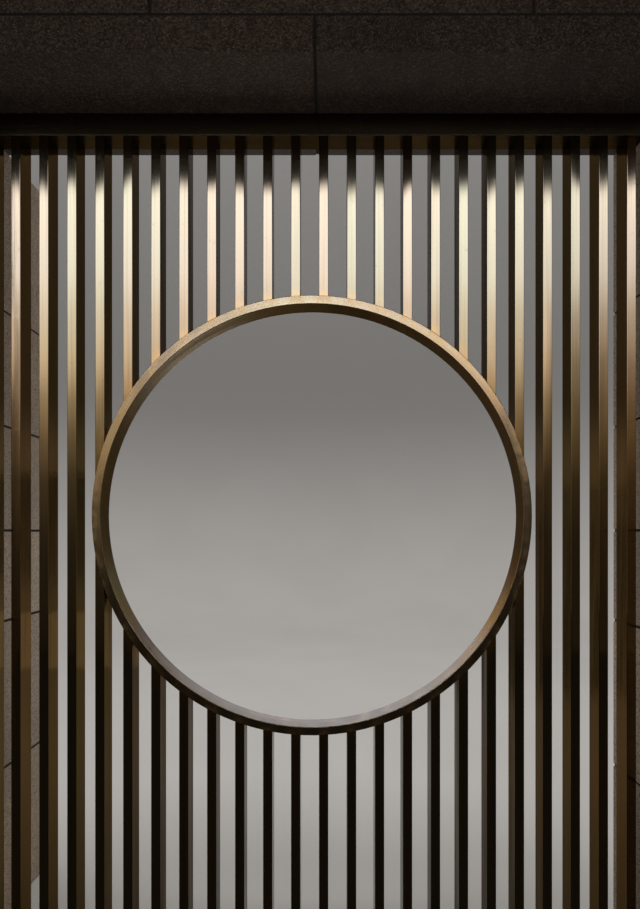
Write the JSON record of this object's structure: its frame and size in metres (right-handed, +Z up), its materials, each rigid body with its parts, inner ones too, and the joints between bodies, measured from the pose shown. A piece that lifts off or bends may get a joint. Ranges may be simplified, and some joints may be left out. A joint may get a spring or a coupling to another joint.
{
  "type": "moon gate",
  "caption": "Screen of upright bronze slats with a large round ring as a moon window, set between stone piers under a stone lintel.",
  "frame": {"origin": "on the ground, at the middle of the gate's outline in plan", "axes": "+X to the right seen from the front, +Y towards the back, +Z up"},
  "size_m": [3.2, 0.89, 3.6],
  "materials": {
    "bronze": "satin bronze-toned coating on steel tube, with a soft long highlight",
    "pale_granite": "flamed grey-brown granite slabs with thin open joints",
    "dark_granite": "rough dark brown-grey granite with fine pale specks and thin open joints"
  },
  "bodies": {
    "root": {"left_pier": "pale_granite", "right_pier": "pale_granite", "lintel": "dark_granite", "top_rail": "bronze", "bottom_rail": "bronze", "moon_ring": "bronze", "side_slats_left": "bronze", "side_slats_right": "bronze", "upper_slat_01": "bronze", "upper_slat_02": "bronze", "upper_slat_03": "bronze", "upper_slat_04": "bronze", "upper_slat_05": "bronze", "upper_slat_06": "bronze", "upper_slat_07": "bronze", "upper_slat_08": "bronze", "upper_slat_09": "bronze", "upper_slat_10": "bronze", "upper_slat_11": "bronze", "upper_slat_12": "bronze", "upper_slat_13": "bronze", "upper_slat_14": "bronze", "upper_slat_15": "bronze", "upper_slat_16": "bronze", "lower_slat_01": "bronze", "lower_slat_02": "bronze", "lower_slat_03": "bronze", "lower_slat_04": "bronze", "lower_slat_05": "bronze", "lower_slat_06": "bronze", "lower_slat_07": "bronze", "lower_slat_08": "bronze", "lower_slat_09": "bronze", "lower_slat_10": "bronze", "lower_slat_11": "bronze", "lower_slat_12": "bronze", "lower_slat_13": "bronze", "lower_slat_14": "bronze", "lower_slat_15": "bronze", "lower_slat_16": "bronze"}
  },
  "joints": []
}
